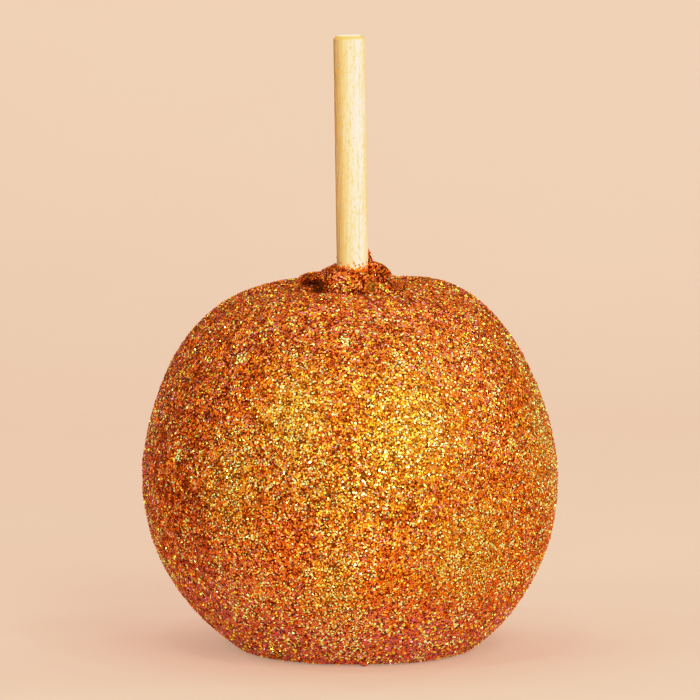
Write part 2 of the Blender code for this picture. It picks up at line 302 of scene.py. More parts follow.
class CoatSettings(bpy.types.PropertyGroup):
    """Sizes and colours of the glitter crust under the loose flakes"""

    inset: length("Inset", "How far the crust lies inside the solid, to leave room for flakes", 0.12 * MM)
    dent_height: length("Dent height", "Depth of the broad dents", 0.55 * MM)
    dent_size: length("Dent size", "Width of one broad dent", 15.0 * MM)
    swell_height: length("Swell height", "Height of the soft unevenness", 0.25 * MM)
    swell_size: length("Swell size", "Width of one soft swell", 5.0 * MM)
    grit_height: length("Grit height", "Height of the crumbly relief", 0.16 * MM)
    grit_size: length("Grit size", "Width of one crumb", 1.3 * MM)
    clump_size: length("Clump size", "Width of one darker or lighter clump of flakes", 1.7 * MM)
    cell_size: length("Cell size", "Width of one stuck-down flake in the crust", 0.36 * MM)
    cell_tilt: share("Cell tilt", "How far the stuck-down flakes lean", 0.45)
    dark: colour("Dark", "Caramel between the flakes", (0.055, 0.0036, 0.0006))
    deep: colour("Deep", "Red-brown flakes", (0.26, 0.025, 0.004))
    body: colour("Body", "Orange flakes", (0.76, 0.098, 0.004))
    warm: colour("Warm", "Amber flakes", (0.84, 0.210, 0.007))
    # olive and honey colour the golden patches, which on the front are painted highlights
    olive: colour("Olive", "Dark flakes of the golden patches", (0.270, 0.078, 0.004))
    honey: colour("Honey", "Bright flakes of the golden patches", (0.690, 0.290, 0.011))
    # bare is also the painted shade in the collar's hollows
    bare: colour("Bare", "Dark caramel where the glitter is missing", (0.040, 0.006, 0.001))
    clear: colour("Clear", "Amber caramel where the glitter is missing", (0.11, 0.034, 0.003))
    # rosy is partly painted sheen of the coat's edges
    rosy: colour("Rosy", "Salmon and mauve flakes of the rim", (0.64, 0.145, 0.115))


class GlitterSettings(bpy.types.PropertyGroup):
    """Sizes, number and colours of the loose flakes"""

    flakes: IntProperty(name="Flakes", description="Number of loose flakes", default=84000, min=100)
    spacing: length("Spacing", "Least distance between two flakes", 0.28 * MM)
    width_low: length("Smallest flake", "Width of the smallest flake", 0.29 * MM)
    width_high: length("Largest flake", "Width of the largest flake", 0.48 * MM)
    rosy_growth: share("Rosy growth", "How much wider the flakes of the rosy rim are", 0.45)
    golden_shrink: share("Golden shrink", "How much narrower the flakes of golden patches are", 0.12)
    depth: length("Depth", "How deep a flake's point sits in the caramel", 0.22 * MM)
    lift: length("Lift", "How far a flake stands off the crust", 0.07 * MM)
    tilt: angle("Tilt", "Usual lean of a flake", 12.0)
    wild_share: share("Wild share", "Share of the flakes that stand up steeply", 0.55)
    wild_tilt: angle("Wild tilt", "Lean of the flakes that stand up", 38.0)
    specks: IntProperty(name="Specks", description="Flakes at the foot of the dowel", default=620)
    speck_reach: length("Speck reach", "How fast the flakes thin out up the dowel", 0.38 * MM)
    mottle: share("Mottle", "How much golden and plain ground mingle", 0.30)
    mottle_size: length("Mottle size", "Width of one golden or plain cloud", 7.0 * MM)
    cluster: share("Cluster", "How much the dark flakes gather in clumps", 0.9)
    clump_shade: share("Clump shade", "How much a clump darkens its flakes", 0.55)
    seed: IntProperty(name="Seed", description="Start of the random draw", default=31)
    copper: colour("Copper", "Red-brown flakes", (0.23, 0.018, 0.003))
    flame: colour("Flame", "Red-orange flakes", (0.88, 0.115, 0.004))
    rosy: colour("Rosy", "Salmon and mauve flakes", (0.58, 0.135, 0.165))
    sage: colour("Sage", "Grey-green flakes", (0.26, 0.220, 0.100))
    amber: colour("Amber", "Orange-yellow flakes", (0.88, 0.240, 0.008))
    gold: colour("Gold", "Yellow flakes", (0.86, 0.600, 0.040))
    pale: colour("Pale", "Pale yellow and green flakes", (0.84, 0.940, 0.330))


class CaramelSettings(bpy.types.PropertyGroup):
    """Colours of the drip, which has no glitter"""

    drip: colour("Drip", "Clear caramel of the drip", (0.420, 0.050, 0.015))
    deep: colour("Deep", "Darker clouds in it", (0.060, 0.010, 0.002))


class StickSettings(bpy.types.PropertyGroup):
    """Shape and colours of the dowel"""

    chamfer: length("Chamfer", "Width of the cut top edge", 0.62 * MM)
    chamfer_height: length("Chamfer height", "Height of the cut top edge", 1.0 * MM)
    slant: angle("Slant", "Lean of the top face towards the back", 5.4)
    waver: length("Waver", "Height of the planing marks", 0.03 * MM)
    cut: colour("Cut wood", "Pale end grain of the top", (0.76, 0.500, 0.300))
    # cream, edge, pale, tan and shade paint light and shade across the dowel; cream and tan are also the
    # grain's own colours
    cream: colour("Cream wood", "Palest wood, right of the middle", (0.86, 0.500, 0.325))
    edge: colour("Edge wood", "Warmer wood at the right edge", (0.80, 0.340, 0.150))
    pale: colour("Pale wood", "Light wood in the middle", (0.80, 0.390, 0.195))
    tan: colour("Tan wood", "Wood of the grain lines", (0.54, 0.285, 0.098))
    shade: colour("Shade wood", "Darkest wood, on the left", (0.120, 0.108, 0.014))
    ochre: colour("Ochre", "Short grain dashes", (0.54, 0.230, 0.040))
    fleck: colour("Fleck", "Small brown flecks", (0.36, 0.150, 0.025))


class StageSettings(bpy.types.PropertyGroup):
    """Camera, floor and studio light"""

    camera_distance: length("Camera distance", "From the camera to the middle of the object", 1.2384)
    camera_height: length("Camera height", "Height of the camera over the floor", 0.2066)
    aim_height: length("Aim height", "Height of the point that the camera looks at", 0.0600)
    aim_side: FloatProperty(
        name="Aim side", description="Sideways place of the camera", default=-0.9 * MM, unit="LENGTH"
    )
    lens: FloatProperty(name="Lens", description="Focal length in millimetres", default=320.95, min=1.0)
    floor: colour("Floor", "Pale floor and backdrop", (0.392, 0.186, 0.131))
    glow: share("Floor glow", "How much the lit table shines through the paper", 0.28)
    key: brightness("Key light", "Brightness of the right softbox", 8.3)
    fill: brightness("Fill light", "Brightness of the left softbox", 7.5)
    front: brightness("Front light", "Brightness of the low softbox", 36.0)
    top: brightness("Top light", "Brightness of the overhead sheet", 3.5)
    side: brightness("Side lights", "Brightness of the side strips", 10.0)
    sparkle: brightness("Sparkle", "Brightness of the small lamps", 190.0)
    ambient: brightness("Ambient", "Strength of the room's light", 0.12)


# ---------------- helpers


def choose(piece=None):
    """Leaves object mode with one object selected and active, or with nothing selected."""
    if bpy.context.mode != "OBJECT":
        bpy.ops.object.mode_set(mode="OBJECT")
    bpy.ops.object.select_all(action="DESELECT")
    if piece is not None:
        piece.select_set(True)
        bpy.context.view_layer.objects.active = piece


def edit(piece, kind="VERT", chosen=None):
    """Enters edit mode with all selected, or only the corners, edges or faces marked as chosen."""
    choose(piece)
    bpy.ops.object.mode_set(mode="EDIT")
    bpy.ops.mesh.select_mode(type=kind)
    bpy.ops.mesh.select_all(action="SELECT" if chosen is None else "DESELECT")
    if chosen is not None:
        bpy.ops.object.mode_set(mode="OBJECT")
        parts = {"VERT": "vertices", "EDGE": "edges", "FACE": "polygons"}[kind]
        getattr(piece.data, parts).foreach_set("select", chosen)
        bpy.ops.object.mode_set(mode="EDIT")


def edit_edges(piece, wanted):
    """Enters edit mode with those edges selected whose two ends pass the test."""
    corners = piece.data.vertices
    chosen = [wanted(*(corners[index].co for index in edge.vertices)) for edge in piece.data.edges]
    edit(piece, "EDGE", chosen)


def leave_edit():
    """Goes back to object mode."""
    bpy.ops.object.mode_set(mode="OBJECT")


def named(piece, name):
    """Gives an object and its mesh one name."""
    piece.name = name
    piece.data.name = name
    return piece


def settle(piece):
    """Puts the piece's place into its mesh, so that its object sits at the origin."""
    choose(piece)
    bpy.ops.object.transform_apply(location=True, rotation=True, scale=True)


def keep(piece, slot, *replaced):
    """Fixes a finished piece to the apple's body. The slot is not used."""
    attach(piece, "root")
    if replaced:
        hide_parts(*replaced)
    choose()


def apply_modifier(piece, kind, **settings):
    """Adds one modifier and applies it."""
    choose(piece)
    modifier = piece.modifiers.new(kind.title(), kind)
    for name, value in settings.items():
        setattr(modifier, name, value)
    bpy.ops.object.modifier_apply(modifier=modifier.name)


def roughen(piece, name, size, height, middle=0.5):
    """Moves the surface in and out by soft clouds of one size."""
    texture = bpy.data.textures.new(name, "CLOUDS")
    texture.noise_scale = size
    texture.noise_basis = "ORIGINAL_PERLIN"
    apply_modifier(piece, "DISPLACE", texture=texture, strength=height, mid_level=middle)


def vertex_array(mesh, attribute="co"):
    """All vertex positions or normals of a mesh, as rows."""
    values = np.empty(len(mesh.vertices) * 3, np.float32)
    mesh.vertices.foreach_get(attribute, values)
    return values.reshape(-1, 3).astype(float)


def add_attribute(piece, name, values):
    """Notes one number at every corner of a piece, for its material to read."""
    layer = piece.data.attributes.new(name, "FLOAT", "POINT")
    layer.data.foreach_set("value", values.astype(np.float32))


def stick_line():
    """Two points on the dowel's axis, low and high, worked out from the CAD stick."""
    points = vertex_array(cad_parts[STICK_NODE].data)
    low, high = points[:, 2].min(), points[:, 2].max()
    ends = []
    for edge in (low, high):
        ring = points[abs(points[:, 2] - edge) < 1.5 * MM]
        ends.append(Vector((ring.min(0) + ring.max(0)) / 2))
    ends[0].z, ends[1].z = low, high
    return ends


def dowel_centre(heights):
    """Points on the dowel's axis at the given heights."""
    low, high = (np.array(end) for end in stick_line())
    return low + (heights - low[2]) * ((high - low) / (high[2] - low[2]))


def from_dowel(points):
    """Distance of each point from the dowel's axis, measured level."""
    return np.linalg.norm((points - dowel_centre(points[:, 2:3]))[:, :2], axis=1)


def between(first, second, part):
    """A colour between two others."""
    return tuple(a + (b - a) * part for a, b in zip(first, second))


# ---------------- shader nodes


def set_inputs(node, values):
    """Sets each named input to a value, or links it where the value is another node's output."""
    for name, value in values.items():
        if isinstance(value, bpy.types.NodeSocket):
            node.id_data.links.new(value, node.inputs[name])
        else:
            node.inputs[name].default_value = value


def add_node(tree, kind, place, values=None, **options):
    """Adds a node at its place in the node editor, sets its options, then its inputs."""
    node = tree.nodes.new(kind)
    node.location = place
    for name, value in options.items():
        setattr(node, name, value)
    set_inputs(node, values or {})
    return node


def new_material(name):
    """A material with nothing but its Principled shader and output."""
    material = bpy.data.materials.new(name)
    material.use_nodes = True
    tree = material.node_tree
    tree.nodes.clear()
    shader = add_node(tree, "ShaderNodeBsdfPrincipled", (600, 0))
    add_node(tree, "ShaderNodeOutputMaterial", (900, 0), {"Surface": shader.outputs["BSDF"]})
    return material, tree, shader


def new_group(name, inputs, outputs):
    """An empty node group with named sockets: {name: (socket type, default)} and {name: socket type}."""
    tree = bpy.data.node_groups.new(name, "ShaderNodeTree")
    for label, (kind, default) in inputs.items():
        socket = tree.interface.new_socket(label, in_out="INPUT", socket_type=kind)
        if default is not None:
            socket.default_value = default
    for label, kind in outputs.items():
        tree.interface.new_socket(label, in_out="OUTPUT", socket_type=kind)
    source = add_node(tree, "NodeGroupInput", (-800, 0))
    sink = add_node(tree, "NodeGroupOutput", (800, 0))
    return tree, source.outputs, sink


def ramp(tree, place, factor, stops):
    """A colour for each level of the factor, from (level, colour) stops."""
    node = add_node(tree, "ShaderNodeValToRGB", place, {"Fac": factor})
    elements = node.color_ramp.elements
    while len(elements) < len(stops):
        elements.new(0.5)
    for element, (position, value) in zip(elements, stops):
        element.position = position
        element.color = (*value, 1.0)
    return node.outputs["Color"]


def mix(tree, place, mask, under, over):
    """Lays one colour over another by a mask."""
    inputs = {"Factor": mask, "A": under, "B": over}
    return add_node(tree, "ShaderNodeMix", place, inputs, data_type="RGBA").outputs["Result"]


def remap(tree, place, value, low=0.0, high=1.0, bottom=0.0, top=1.0):
    """Turns a value from low to high into one from bottom to top, and holds it beyond them."""
    inputs = {"Value": value, "From Min": low, "From Max": high, "To Min": bottom, "To Max": top}
    return add_node(tree, "ShaderNodeMapRange", place, inputs).outputs["Result"]


def scaled(tree, place, vector, factor):
    """A colour or a direction made stronger or weaker."""
    inputs = {0: vector, "Scale": factor}
    return add_node(tree, "ShaderNodeVectorMath", place, inputs, operation="SCALE").outputs["Vector"]


def vector_step(tree, place, operation, *values):
    """One sum with directions or colours, such as ADD or NORMALIZE."""
    inputs = dict(enumerate(values))
    node = add_node(tree, "ShaderNodeVectorMath", place, inputs, operation=operation)
    return node.outputs["Vector"]


def clouds(tree, place, where, scale, detail, **more):
    """Soft noise, so many clouds to the metre."""
    inputs = {"Vector": where, "Scale": scale, "Detail": detail, **more}
    return add_node(tree, "ShaderNodeTexNoise", place, inputs).outputs["Fac"]


def piece_value(tree, place, name):
    """What the piece's own attribute says at each point."""
    return add_node(tree, "ShaderNodeAttribute", place, attribute_name=name).outputs["Fac"]


def bumped(tree, height, strength, distance):
    """The surface's normal, tipped by a fine relief."""
    inputs = {"Height": height, "Strength": strength, "Distance": distance}
    return add_node(tree, "ShaderNodeBump", (250, -300), inputs).outputs["Normal"]


def glitter_cells_group():
    """Close-packed flakes: a random tone for each, its edge, and its own leaning normal."""
    tree, source, sink = new_group(
        "glitter_cells",
        {
            "Position": ("NodeSocketVector", None),
            "Per Metre": ("NodeSocketFloat", 2400.0),
            "Tilt": ("NodeSocketFloat", 0.5),
        },
        {"Tone": "NodeSocketFloat", "Edge": "NodeSocketFloat", "Normal": "NodeSocketVector"},
    )
    pack = {"Vector": source["Position"], "Scale": source["Per Metre"], "Randomness": 1.0}
    cells = add_node(tree, "ShaderNodeTexVoronoi", (-500, 100), pack, feature="F1").outputs["Color"]
    edges = add_node(tree, "ShaderNodeTexVoronoi", (-500, -250), pack, feature="DISTANCE_TO_EDGE")
    split = add_node(tree, "ShaderNodeSeparateColor", (-250, 200), {"Color": cells})
    centred = vector_step(tree, (-250, 0), "SUBTRACT", cells, (0.5, 0.5, 0.5))
    lean = scaled(tree, (0, 0), centred, source["Tilt"])
    surface = add_node(tree, "ShaderNodeNewGeometry", (0, -200)).outputs["Normal"]
    total = vector_step(tree, (250, 0), "ADD", lean, surface)
    unit = vector_step(tree, (500, 0), "NORMALIZE", total)
    edge = remap(tree, (-250, -250), edges.outputs["Distance"], 0.03, 0.20)
    set_inputs(sink, {"Tone": split.outputs["Red"], "Edge": edge, "Normal": unit})
    return tree


def flake_tone_group():
    """Colour of a loose flake, by its place on the palette map: tone across, shade up."""
    name = "flake_tone"
    if name in bpy.data.node_groups:
        return bpy.data.node_groups[name]
    tree, source, sink = new_group(
        name,
        {
            "Palette": ("NodeSocketVector", None),
            "Deep": ("NodeSocketColor", (0.5, 0.1, 0.02, 1.0)),
            "Middle": ("NodeSocketColor", (0.9, 0.3, 0.05, 1.0)),
            "Light": ("NodeSocketColor", (1.0, 0.6, 0.2, 1.0)),
            "Darkest": ("NodeSocketFloat", 0.45),
        },
        {"Color": "NodeSocketColor"},
    )
    split = add_node(tree, "ShaderNodeSeparateXYZ", (-550, 0), {"Vector": source["Palette"]})
    low = remap(tree, (-300, 200), split.outputs["X"], high=0.5)
    high = remap(tree, (-300, -50), split.outputs["X"], low=0.5)
    tone = mix(tree, (0, 200), low, source["Deep"], source["Middle"])
    tone = mix(tree, (200, 100), high, tone, source["Light"])
    level = remap(tree, (0, -150), split.outputs["Y"], bottom=source["Darkest"])
    set_inputs(sink, {"Color": scaled(tree, (450, 0), tone, level)})
    return tree


# ---------------- materials


def crust_material(settings):
    """Caramel packed with stuck-down flakes: every cell has its own tone and lean, shifted by the painted
    highlights, sheen, light and shade that the piece's attributes carry.
    """
    material, tree, shader = new_material("glitter_crust")
    place = add_node(tree, "ShaderNodeTexCoord", (-1200, 0))
    inputs = {
        "Position": place.outputs["Object"],
        "Per Metre": 1.0 / settings.cell_size,
        "Tilt": 2.0 * settings.cell_tilt,
    }
    group = glitter_cells_group()
    cells = add_node(tree, "ShaderNodeGroup", (-900, 0), inputs, node_tree=group).outputs
    plain = [
        (0.00, settings.dark),
        (0.20, settings.dark),
        (0.32, settings.deep),
        (0.48, settings.body),
        (0.78, settings.warm),
        (0.90, settings.rosy),
        (1.00, settings.body),
    ]
    golden = [
        (0.00, between(settings.dark, settings.olive, 0.8)),
        (0.30, settings.olive),
        (0.60, settings.honey),
        (1.00, between(settings.honey, settings.body, 0.5)),
    ]
    mauve = [
        (0.00, settings.dark),
        (0.20, settings.deep),
        (0.50, settings.rosy),
        (0.80, between(settings.rosy, settings.body, 0.5)),
        (1.00, settings.warm),
    ]
    tone = ramp(tree, (-600, 200), cells["Tone"], plain)
    # the golden mask carries painted highlights, the rosy mask painted sheen, besides the glitter's own
    # tints
    for row, (name, stops) in enumerate(((GOLD_HIGHLIGHT_ATTRIBUTE, golden), (ROSY_SHEEN_ATTRIBUTE, mauve))):
        over = ramp(tree, (-600, 450 + 250 * row), cells["Tone"], stops)
        mask = piece_value(tree, (-600, 900 + 150 * row), name)
        tone = mix(tree, (-400, 400 + 200 * row), mask, tone, over)
    # the clump level carries painted light and painted shade besides the clumps' own tone
    clump = piece_value(tree, (-600, 1200), CLUMP_LIGHT_ATTRIBUTE)
    level = remap(tree, (-400, 1200), clump, bottom=0.42, top=1.30)
    tone = scaled(tree, (-200, 600), tone, level)
    tone = mix(tree, (0, 400), cells["Edge"], (*settings.dark, 1.0), tone)
    # bare dark caramel, which in the collar's hollows is also painted shade
    clear = piece_value(tree, (-600, -700), CLEAR_ATTRIBUTE)
    caramel = ramp(tree, (-300, -700), clear, [(0.0, settings.bare), (0.9, settings.clear)])
    bare = piece_value(tree, (-600, -500), BARE_SHADE_ATTRIBUTE)
    coat = {
        "Base Color": mix(tree, (250, 200), bare, tone, caramel),
        "Normal": cells["Normal"],
        "Metallic": 0.60,
        "Specular IOR Level": 0.0,
        "Specular Tint": EDGE_TINT,
        "Roughness": 0.36,
    }
    set_inputs(shader, coat)
    return material


def flake_material(kind, settings):
    """Metallised film: the flake's place on the palette map gives its tone."""
    if "glitter_" + kind in bpy.data.materials:
        return bpy.data.materials["glitter_" + kind]
    material, tree, shader = new_material("glitter_" + kind)
    roughness, metallic, deep, light = FLAKE_KINDS[kind][3:]
    palette = add_node(tree, "ShaderNodeUVMap", (-600, 0), uv_map=PALETTE_MAP)
    inputs = {"Palette": palette.outputs["UV"]}
    for label, factors in (("Deep", deep), ("Middle", (1.0, 1.0, 1.0)), ("Light", light)):
        parts = zip(getattr(settings, kind), factors)
        inputs[label] = (*(min(1.0, part * factor) for part, factor in parts), 1.0)
    tone = add_node(tree, "ShaderNodeGroup", (-300, 0), inputs, node_tree=flake_tone_group())
    film = {
        "Base Color": tone.outputs["Color"],
        "Metallic": metallic,
        "Specular IOR Level": 0.0,
        "Specular Tint": EDGE_TINT,
        "Roughness": roughness,
    }
    set_inputs(shader, film)
    return material


def caramel_material(settings):
    """Glossy caramel: clear where it is thin, deeper in slow clouds, with fine bubbles."""
    material, tree, shader = new_material("orange_caramel")
    where = add_node(tree, "ShaderNodeTexCoord", (-1000, 0)).outputs["Object"]
    thickness = clouds(tree, (-750, 0), where, 620.0, 3.0)
    bubbles = clouds(tree, (-750, -300), where, 2600.0, 2.0)
    caramel = {
        "Base Color": ramp(tree, (-450, 0), thickness, [(0.34, settings.deep), (0.62, settings.drip)]),
        "Normal": bumped(tree, bubbles, 0.4, 0.08 * MM),
        "Roughness": 0.35,
        "Specular IOR Level": 0.15,
    }
    set_inputs(shader, caramel)
    return material


def wood_material(settings):
    """Pale sanded dowel: painted shade on the left side and painted light right of the middle, long grain
    streaks, pores and small flecks.
    """
    material, tree, shader = new_material("dowel_wood")
    where = add_node(tree, "ShaderNodeTexCoord", (-1500, 0)).outputs["Object"]
    grain = {}
    for row, (name, along, scale, detail) in enumerate(
        (
            # how far each pattern is drawn out along the dowel (less is longer), its scale, its detail
            ("streak", 0.030, 2300.0, 4.0),
            ("dash", 0.26, 3300.0, 1.0),
            ("fleck", 0.50, 3000.0, 1.0),
            ("pore", 0.06, 4200.0, 2.0),
        )
    ):
        inputs = {"Vector": where, "Scale": (1.0, 1.0, along)}
        drawn = add_node(tree, "ShaderNodeMapping", (-1250, -250 * row), inputs).outputs["Vector"]
        grain[name] = clouds(tree, (-1000, -250 * row), drawn, scale, detail, Roughness=0.6)
    # painted light and shade across the dowel: dark on the left, lightest right of the middle, darker
    # again at the right edge
    across = [
        (0.00, settings.shade),
        (0.12, between(settings.shade, settings.tan, 0.4)),
        (0.28, settings.tan),
        (0.50, settings.pale),
        (0.78, settings.cream),
        (0.98, settings.edge),
    ]
    tone = ramp(tree, (-900, 400), piece_value(tree, (-1250, 400), SIDE_LIGHT_ATTRIBUTE), across)
    cut = piece_value(tree, (-1000, 700), CUT_ATTRIBUTE)
    for column, (value, low, high, strength, tint) in enumerate(
        (
            # what shows, the levels from which and at which it shows fully, how strongly, its colour
            (grain["streak"], 0.50, 0.62, 0.70, settings.tan),
            (grain["streak"], 0.46, 0.36, 0.40, settings.cream),
            (grain["dash"], 0.55, 0.64, 0.66, settings.ochre),
            (grain["fleck"], 0.66, 0.72, 0.70, settings.fleck),
            (cut, 0.0, 0.3, 0.85, settings.ochre),
            (cut, 0.7, 0.9, 0.85, settings.cut),
        )
    ):
        mask = remap(tree, (-600 + 180 * column, 0), value, low, high, top=strength)
        tone = mix(tree, (-500 + 180 * column, 300), mask, tone, (*tint, 1.0))
    wood = {
        "Base Color": tone,
        "Normal": bumped(tree, grain["pore"], 0.35, 0.06 * MM),
        "Roughness": 0.6,
        "Specular IOR Level": 0.08,
    }
    set_inputs(shader, wood)
    return material


def floor_material(settings):
    """Matt paper with a very faint mottle, lit through from below."""
    material, tree, shader = new_material("studio_paper")
    where = add_node(tree, "ShaderNodeTexCoord", (-900, 0)).outputs["Object"]
    mottle = clouds(tree, (-650, 0), where, 22.0, 3.0)
    darker = between((0.0, 0.0, 0.0), settings.floor, 0.975)
    paper = {
        "Base Color": ramp(tree, (-350, 0), mottle, [(0.30, darker), (0.70, settings.floor)]),
        "Roughness": 0.9,
        "Specular IOR Level": 0.1,
        "Emission Color": GLOW_TINT,
        "Emission Strength": settings.glow,
    }
    set_inputs(shader, paper)
    return material


# ---------------- coat


def merged_copy(node, name):
    """A copy of a CAD node with its doubled corners merged and its faces paired."""
    piece = node.copy()
    piece.data = node.data.copy()
    named(piece, name)
    piece.parent = None
    piece.matrix_world = Matrix.Identity(4)
    piece.hide_render = False
    piece.hide_viewport = False
    bpy.context.scene.collection.objects.link(piece)
    piece.data.materials.clear()
    edit(piece)
    bpy.ops.mesh.remove_doubles(threshold=0.002 * MM)
    bpy.ops.mesh.tris_convert_to_quads(face_threshold=math.radians(40), shape_threshold=math.radians(60))
    bpy.ops.mesh.faces_shade_smooth()
    leave_edit()
    return piece


def close_socket(crust):
    """Draws the collar's inner edge in to the dowel."""
    points = vertex_array(crust.data)
    edit(crust, "VERT", (from_dowel(points) < SOCKET_REACH) & (points[:, 2] > SOCKET_FOOT))
    narrower, middle = (SOCKET_NARROWING, SOCKET_NARROWING, 1.0), Vector(dowel_centre(COLLAR_TOP))
    bpy.ops.transform.resize(value=narrower, center_override=middle)
    leave_edit()


def flatten_foot(crust):
    """Presses what sank below the table back up to it."""
    edit(crust, "VERT", vertex_array(crust.data)[:, 2] < FOOT_HEIGHT)
    bpy.ops.transform.resize(value=(1.0, 1.0, 0.0), center_override=(0.0, 0.0, FOOT_HEIGHT))
    leave_edit()


def lay_masks(piece, settings):
    """Notes at every corner how golden, rosy, bare and clear it is, and its clump's shade; these carry
    painted highlights, painted sheen, painted shade and painted light as well as the glitter's own tones.
    """
    points = vertex_array(piece.data)
    bare, clear = bare_share(points)
    add_attribute(piece, GOLD_HIGHLIGHT_ATTRIBUTE, patches(points, GOLD_AND_HIGHLIGHT_PATCHES))
    add_attribute(piece, ROSY_SHEEN_ATTRIBUTE, rosy_share(points))
    add_attribute(piece, CLUMP_LIGHT_ATTRIBUTE, clumps_and_painted_light(points, settings.clump_size))
    add_attribute(piece, BARE_SHADE_ATTRIBUTE, bare)
    add_attribute(piece, CLEAR_ATTRIBUTE, clear)


def make_crust(settings):
    """The crust: the CAD form, smoothed, drawn in a little and made crumbly."""
    crust = merged_copy(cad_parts[COAT_NODE], "glitter_crust")
    apply_modifier(crust, "SUBSURF", levels=2, render_levels=2)
    apply_modifier(crust, "DISPLACE", strength=-settings.inset, mid_level=0.0)
    close_socket(crust)
    roughen(crust, "crust_dent", settings.dent_size, settings.dent_height, SINK)
    roughen(crust, "crust_swell", settings.swell_size, settings.swell_height, SINK)
    roughen(crust, "crust_grit", settings.grit_size, settings.grit_height, SINK)
    flatten_foot(crust)
    crust.data.materials.append(crust_material(settings))
    lay_masks(crust, settings)
    keep(crust, COAT_SLOT, COAT_NODE)


# ---------------- ground of the coat


def soft_noise(places, size):
    """Soft noise at each place, about -1 to 1."""
    return np.array([2.0 * noise.noise(Vector(place / size)) for place in places])


def fade(values, start, end):
    """How far each value is on its way from start to end, from 0 to 1."""
    return np.clip((values - start) / (end - start), 0.0, 1.0)


def patches(places, table):
    """How far each place lies in any patch of a table, from 0 to 1."""
    inside = np.zeros(len(places))
    for bearing, height, width, tall, strength in table:
        turn = math.radians(bearing)
        side = places[:, 0] * math.cos(turn) + places[:, 1] * math.sin(turn)
        front = places[:, 0] * math.sin(turn) - places[:, 1] * math.cos(turn)
        reach = (side / (width * MM)) ** 2 + ((places[:, 2] - height * MM) / (tall * MM)) ** 2
        inside = np.maximum(inside, strength * np.exp(-reach) * (front > 0))
    return inside


def collar_reach(places):
    """Level distance from the apple's axis, as a share of the collar's reach."""
    return np.hypot(places[:, 0], places[:, 1]) / COLLAR_REACH


def rosy_share(places):
    """How rosy each place is: the patches, the shoulder and the foot, but not the collar. It is partly
    the glitter's mauve tint and partly painted sheen of the edges.
    """
    foot = ROSY_FOOT * fade(places[:, 2] / MM, *ROSY_FOOT_SPAN)
    off_collar = np.clip(collar_reach(places) - ROSY_COLLAR, 0.0, 1.0)
    shoulder = ROSY_TOP * (fade(places[:, 2] / MM, *ROSY_TOP_SPAN) * off_collar)
    return np.maximum(patches(places, ROSY_AND_SHEEN_PATCHES), np.maximum(foot, shoulder))


def clumps_and_painted_light(places, size):
    """Darker (0) and lighter (1) clumps of flakes: even on plain ground, dark and patchy on dusky, with
    painted shade in the dusky patches on the front and left and painted light on the lower part and in
    the lit patches.
    """
    near = np.clip(DUSKY_COLLAR - collar_reach(places), 0.0, 1.0) * (places[:, 2] > COLLAR_FOOT)
    dusky = np.maximum(patches(places, DUSKY_AND_SHADED_PATCHES), near)
    lower = fade(places[:, 2] / MM, *FLOOR_LIGHT_SPAN)
    # painted shade in the dusky patches on the front and left, painted light on the lower part and in the
    # lit patches
    level = CLUMP_LEVEL - DUSKY_DROP * dusky + FLOOR_LIGHT_LIFT * lower
    level += PAINTED_LIGHT_LIFT * patches(places, PAINTED_LIGHT_PATCHES)
    return np.clip(level + (CLUMP_SPREAD + DUSKY_SPREAD * dusky) * soft_noise(places, size), 0.0, 1.0)


def bare_share(places):
    """How bare the caramel is at each place, and how clear it is, both from 0 to 1. The dark bare spots
    in the collar's hollows are partly painted shade.
    """
    bare, clear = np.zeros(len(places)), np.zeros(len(places))
    for x, y, z, radius, strength, clearness in BARE_AND_SHADED_SPOTS:
        away = np.linalg.norm(places - np.array((x, y, z)) * MM, axis=1) / (radius * MM)
        barer = strength * np.clip(BARE_EDGE - BARE_EDGE * away, 0.0, 1.0)
        clear = np.where(barer > bare, clearness, clear)
        bare = np.maximum(bare, barer)
    return bare, clear


def near_spots(places, spots):
    """Which places lie inside one of the spots."""
    inside = np.zeros(len(places), bool)
    for x, y, z, radius in spots:
        inside |= np.linalg.norm(places - np.array((x, y, z)) * MM, axis=1) < radius * MM
    return inside


# ---------------- loose flakes


def flake_form():
    """One flake, modelled once: a flat hexagon whose underside runs to a point in the caramel."""
    mesh = bpy.data.meshes.get("flake_form")
    if mesh is None:
        choose()
        bpy.ops.mesh.primitive_circle_add(vertices=6, radius=0.5, fill_type="NGON")
        flake = named(bpy.context.object, "flake_form")
        edit(flake)
        bpy.ops.mesh.extrude_region_move(TRANSFORM_OT_translate={"value": (0.0, 0.0, -1.0)})
        bpy.ops.mesh.merge(type="CENTER")
        bpy.ops.mesh.select_all(action="SELECT")
        bpy.ops.mesh.normals_make_consistent(inside=False)
        leave_edit()
        mesh = flake.data
        bpy.data.objects.remove(flake)
    return vertex_array(mesh), [list(face.vertices) for face in mesh.polygons]


def surface_points(piece, count, draw):
    """Random places all over a piece, with its normals there."""
    mesh = piece.data
    mesh.calc_loop_triangles()
    triangles = np.array([triangle.vertices for triangle in mesh.loop_triangles])
    points, normals = vertex_array(mesh), vertex_array(mesh, "normal")
    corner = points[triangles]
    area = np.linalg.norm(np.cross(corner[:, 1] - corner[:, 0], corner[:, 2] - corner[:, 0]), axis=1)
    chosen = triangles[np.searchsorted(np.cumsum(area), draw.random(count) * area.sum())]
    first, second = np.sqrt(draw.random(count)), draw.random(count)
    weights = np.stack([1 - first, first * (1 - second), first * second], axis=1)[:, :, None]
    place = (points[chosen] * weights).sum(1)
    normal = (normals[chosen] * weights).sum(1)
    return place, normal / np.linalg.norm(normal, axis=1, keepdims=True)


